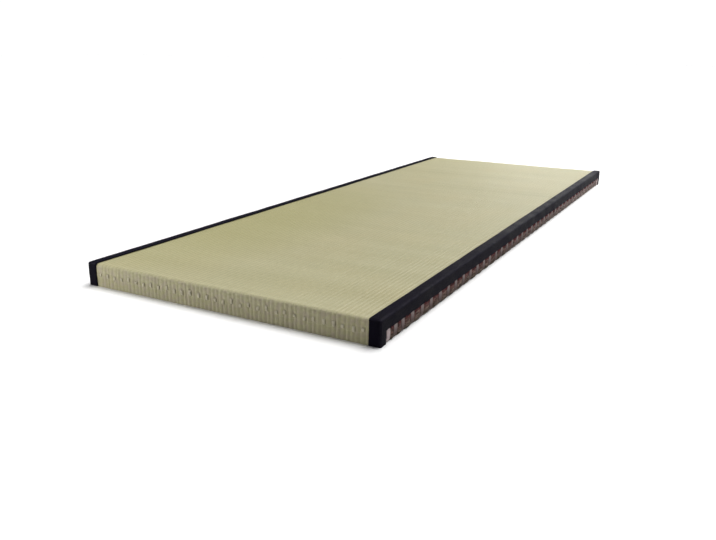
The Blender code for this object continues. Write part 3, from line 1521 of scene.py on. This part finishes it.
@dataclass
class HemThread:
    """The thread whipped over the lower hem of one binding, between the side cords."""

    side: Side
    sewing: SewingPlan
    thread_radius: float = 0.0008
    pitch: float = 0.0065
    clear_of_cord: float = 0.009
    sides: int = 6
    steps: int = 7
    above: float = 0.0035
    below: float = 0.0065
    slant: float = 0.004
    sink: float = 0.0024
    tip_share: float = 0.02
    tautness: float = 0.4
    bite: tuple[float, float] = (0.6, 1.1)
    reach: tuple[float, float] = (0.8, 1.15)
    slant_spread: tuple[float, float] = (0.7, 1.2)
    looseness: float = 0.0008
    girth_spread: tuple[float, float] = (0.85, 1.15)
    straw_depth: float = 0.0012
    lift: float = 0.0003
    hem_fade: tuple[float, float] = (-0.002, 0.001)
    seed: int = 71

    def places(self) -> Array:
        """Spaces the whipped stitches between the side cords.

        Returns:
            Y of each stitch.
        """
        near = self.sewing.side_y[:-1]
        far = self.sewing.side_y[1:]
        found = []
        for low, high in zip(near, far):
            reach = high - low - 2 * self.clear_of_cord
            count = max(1, round(reach / self.pitch))
            found.append(low + self.clear_of_cord + reach * (np.arange(count) + 0.5) / count)
        return np.concatenate(found)

    def build(self, finish: CordFinish) -> bpy.types.Object:
        """Builds the thread.

        Args:
            finish: The thread's finish.

        Returns:
            The thread, dressed and riding on the mat.
        """
        draw = np.random.default_rng(self.seed + self.side.value)
        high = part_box("binding_right")[1]
        hem = high.z - BindingCloth.drop
        share = np.linspace(0, 1, self.steps)
        inside = np.clip(share, self.tip_share, 1 - self.tip_share)
        into = self.sink * (1 - np.sin(math.pi * inside) ** self.tautness)
        parts = []
        for y in self.places():
            top = hem + self.above * draw.uniform(*self.bite)
            foot = hem - self.below * draw.uniform(*self.reach)
            z = top + (foot - top) * share
            over = smoothstep(*(hem + fade for fade in self.hem_fade), z)
            x = high.x - self.straw_depth * (1 - over) + self.lift - into
            slant = self.slant * draw.uniform(*self.slant_spread)
            across = y + slant * (share - 0.5) + draw.uniform(-self.looseness, self.looseness)
            line = np.stack([self.side.value * x, across, z], axis=1)
            parts.append(tube(line, self.thread_radius * draw.uniform(*self.girth_spread), self.sides))
        name = self.side.name.lower()
        thread = new_piece(f"hem_thread_{name}", *joined(parts))
        thread.data.materials.append(finish.material())
        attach(thread, ROOT_BODY)
        return thread


@dataclass
class EndTwine:
    """The row of twine stitches that holds the cover to one end of the board."""

    end: End
    sewing: SewingPlan
    twine_radius: float = 0.0011
    strand_pitch: float = 0.0019
    strands: int = 3
    sides: int = 7
    steps: int = 14
    lift: float = 0.0008
    sink: float = 0.003
    tip_share: float = 0.001
    tautness: float = 0.22
    slant: float = 0.001
    girth_spread: tuple[float, float] = (0.9, 1.1)
    seed: int = 81

    def stitch(self, x: float, z: float, length: float, draw: np.random.Generator) -> list[Mesh]:
        """Makes one stitch of a few strands that come out of the cover and go back in.

        Args:
            x: Where the stitch is across the mat.
            z: The height of its middle.
            length: How long it is.
            draw: The random draw.

        Returns:
            The strands, each as points and faces.
        """
        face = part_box("rush_cover")[1].y
        share = (1 - np.cos(np.linspace(0, math.pi, self.steps))) / 2
        inside = np.clip(share, self.tip_share, 1 - self.tip_share)
        rise = np.sin(math.pi * inside) ** self.tautness
        lean = draw.uniform(-self.slant, self.slant)
        strands = []
        for offset in (np.arange(self.strands) - (self.strands - 1) / 2) * self.strand_pitch:
            y = face + self.lift - (self.lift + self.sink) * (1 - rise)
            across = x + offset + lean * (share - 0.5)
            line = np.stack([across, self.end.value * y, z + length * (0.5 - share)], axis=1)
            strands.append(tube(line, self.twine_radius * draw.uniform(*self.girth_spread), self.sides))
        return strands

    def build(self, finish: CordFinish) -> bpy.types.Object:
        """Builds the stitches.

        Args:
            finish: The twine's finish.

        Returns:
            The twine, dressed and riding on the mat.
        """
        draw = np.random.default_rng(self.seed + self.end.value)
        parts = []
        for x, z, length in zip(self.sewing.end_x, self.sewing.end_z, self.sewing.end_length):
            parts += self.stitch(x, z, length, draw)
        twine = new_piece(f"end_twine_{self.end.name.lower()}", *joined(parts))
        twine.data.materials.append(finish.material())
        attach(twine, ROOT_BODY)
        return twine


# ---------------------------------------------------------------- the studio


def hang(light: bpy.types.Light, place: Vector, target: Vector) -> None:
    """Hangs a light out of the camera's sight.

    Args:
        light: The light.
        place: Where it hangs.
        target: The point that it is turned to.
    """
    hung = bpy.data.objects.new(light.name, light)
    hung.location = place
    hung.rotation_mode = "QUATERNION"
    hung.rotation_quaternion = (place - target).to_track_quat("Z", "Y")
    hung.visible_camera = False
    bpy.context.scene.collection.objects.link(hung)


@dataclass(frozen=True)
class Lamp:
    """A square soft lamp on a stand, turned to a point on the mat."""

    name: str
    power: float
    size: float
    place: tuple[float, float, float]
    target: tuple[float, float, float]

    def build(self) -> None:
        """Builds the lamp."""
        lamp = bpy.data.lights.new(self.name, "AREA")
        lamp.energy = self.power
        lamp.size = self.size
        hang(lamp, Vector(self.place), Vector(self.target))


@dataclass(frozen=True)
class Studio:
    """A plain pale floor that runs out of sight, soft light, and the camera.

    The floor and the sky show white, but the light that they throw is less than that.
    """

    floor_tone: Tone = Tone(255, 255, 255)
    floor_bounce: Tone = Tone(200, 200, 198)
    floor_size: float = 60.0
    floor_patches: Blotches = Blotches(0.8, 2.0, 1.0)
    floor_roughness: tuple[float, float] = (0.88, 0.92)
    floor_specular: float = 0.1
    zenith_light: float = 0.0
    horizon_light: float = 0.24
    horizon_falloff: float = 2.0
    sky_seen: float = 1.06
    sun_strength: float = 3.38
    sun_heading: tuple[float, float, float] = (0.1, 0.35, 0.93)
    sun_width_deg: float = 45
    front_lamp: Lamp = Lamp("front_lamp", 7.3, 0.5, (-1.0, -1.75, 0.24), (-0.2, -1.0, 0.0))
    back_lamp: Lamp = Lamp("back_lamp", 15.5, 1.6, (0.3, 2.0, 0.8), (0.2, 0.6, 0.0))
    side_lamp: Lamp = Lamp("side_lamp", 5.0, 0.8, (2.3, 1.5, 0.35), (0.38, 0.7, 0.03))
    eye: tuple[float, float, float] = (0.9434, -2.1539, 0.5385)
    turn_deg: float = 28.28
    tilt_deg: float = -16.90
    roll_deg: float = 0.69
    lens: float = 36.89
    sensor: float = 36.0

    def lay_floor(self) -> None:
        """Lays the floor at the mat's underside."""
        half = self.floor_size / 2
        level = CAD_BOUNDS[0][2]
        corners = np.array([(x, y, level) for x, y in ((-1, -1), (1, -1), (1, 1), (-1, 1))])
        corners[:, :2] *= half
        floor = new_piece("floor", corners, [[0, 1, 2, 3]])
        material = bpy.data.materials.new("pale_floor")
        material.use_nodes = True
        wiring = Wiring(material.node_tree)
        shader = material.node_tree.nodes["Principled BSDF"]
        place = wiring.add("ShaderNodeTexCoord").outputs["Object"]
        rough = wiring.stretch(self.floor_patches.value(wiring, place), 0.0, 1.0, *self.floor_roughness)
        wiring.put(rough, shader.inputs["Roughness"])
        seen = wiring.add("ShaderNodeLightPath").outputs["Is Camera Ray"]
        wiring.put(wiring.mix(seen, self.floor_bounce, self.floor_tone), shader.inputs["Base Color"])
        shader.inputs["Specular IOR Level"].default_value = self.floor_specular
        floor.data.materials.append(material)

    def light(self) -> None:
        """Hangs a sky that shows white and glows at the horizon, a wide soft sun and three lamps."""
        world = bpy.data.worlds.new("studio")
        bpy.context.scene.world = world
        world.use_nodes = True
        wiring = Wiring(world.node_tree)
        background = world.node_tree.nodes["Background"]
        background.inputs["Color"].default_value = (1.0, 1.0, 1.0, 1.0)
        _, _, up = wiring.parts(wiring.add("ShaderNodeTexCoord").outputs["Generated"])
        low = wiring.math("POWER", wiring.math("SUBTRACT", 1.0, up, clamp=True), self.horizon_falloff)
        glow = wiring.stretch(low, 0.0, 1.0, self.zenith_light, self.horizon_light)
        seen = wiring.add("ShaderNodeLightPath").outputs["Is Camera Ray"]
        blend = wiring.add("ShaderNodeMix", data_type="FLOAT")
        for value, number in zip((seen, glow, self.sky_seen), (0, 2, 3)):
            wiring.put(value, blend.inputs[number])
        wiring.put(blend.outputs[0], background.inputs["Strength"])
        sun = bpy.data.lights.new("sun", "SUN")
        sun.energy = self.sun_strength
        sun.angle = math.radians(self.sun_width_deg)
        hang(sun, Vector(self.sun_heading), Vector())
        self.front_lamp.build()
        self.back_lamp.build()
        self.side_lamp.build()

    def camera(self) -> None:
        """Sets up the camera and the plain view transform."""
        data = bpy.data.cameras.new("camera")
        data.lens = self.lens
        data.sensor_width = self.sensor
        data.clip_end = self.floor_size
        camera = bpy.data.objects.new("camera", data)
        turn = Matrix.Rotation(math.radians(self.turn_deg), 4, "Z")
        tilt = Matrix.Rotation(math.radians(90 + self.tilt_deg), 4, "X")
        roll = Matrix.Rotation(math.radians(self.roll_deg), 4, "Z")
        camera.matrix_world = Matrix.Translation(self.eye) @ turn @ tilt @ roll
        bpy.context.scene.collection.objects.link(camera)
        scene = bpy.context.scene
        scene.camera = camera
        scene.view_settings.view_transform = "Standard"

    def build(self) -> None:
        """Builds the whole studio."""
        self.lay_floor()
        self.light()
        self.camera()


def report(piece: bpy.types.Object) -> None:
    """Logs a piece's name, triangles and size.

    Args:
        piece: The piece.
    """
    evaluated = piece.evaluated_get(bpy.context.evaluated_depsgraph_get())
    mesh = evaluated.to_mesh()
    mesh.calc_loop_triangles()
    size = " x ".join(f"{length * 1000:.1f}" for length in piece.dimensions)
    LOG.info("%s: %d triangles, %s mm", piece.name, len(mesh.loop_triangles), size)
    evaluated.to_mesh_clear()


def main() -> None:
    """Builds the mat and its studio."""
    logging.basicConfig(level=logging.INFO, format="%(message)s")
    sewing = SewingPlan()
    report(StrawBoard(sewing).build(StrawFinish()))
    report(RushCover(sewing).build(RushFinish()))
    side_cord = SideCordFinish("side_cord", Tone(250, 236, 238), Tone(216, 196, 196))
    hem_thread = CordFinish("hem_thread", Tone(132, 42, 48), Tone(70, 24, 28))
    end_twine = CordFinish("end_twine", Tone(238, 232, 210), Tone(200, 192, 164))
    for side in Side:
        report(SideCords(side, sewing).build(side_cord))
        report(HemThread(side, sewing).build(hem_thread))
        report(BindingCloth(side, sewing).build(BindingFinish()))
    for end in End:
        report(EndTwine(end, sewing).build(end_twine))
    Studio().build()


if __name__ == "__main__":
    main()
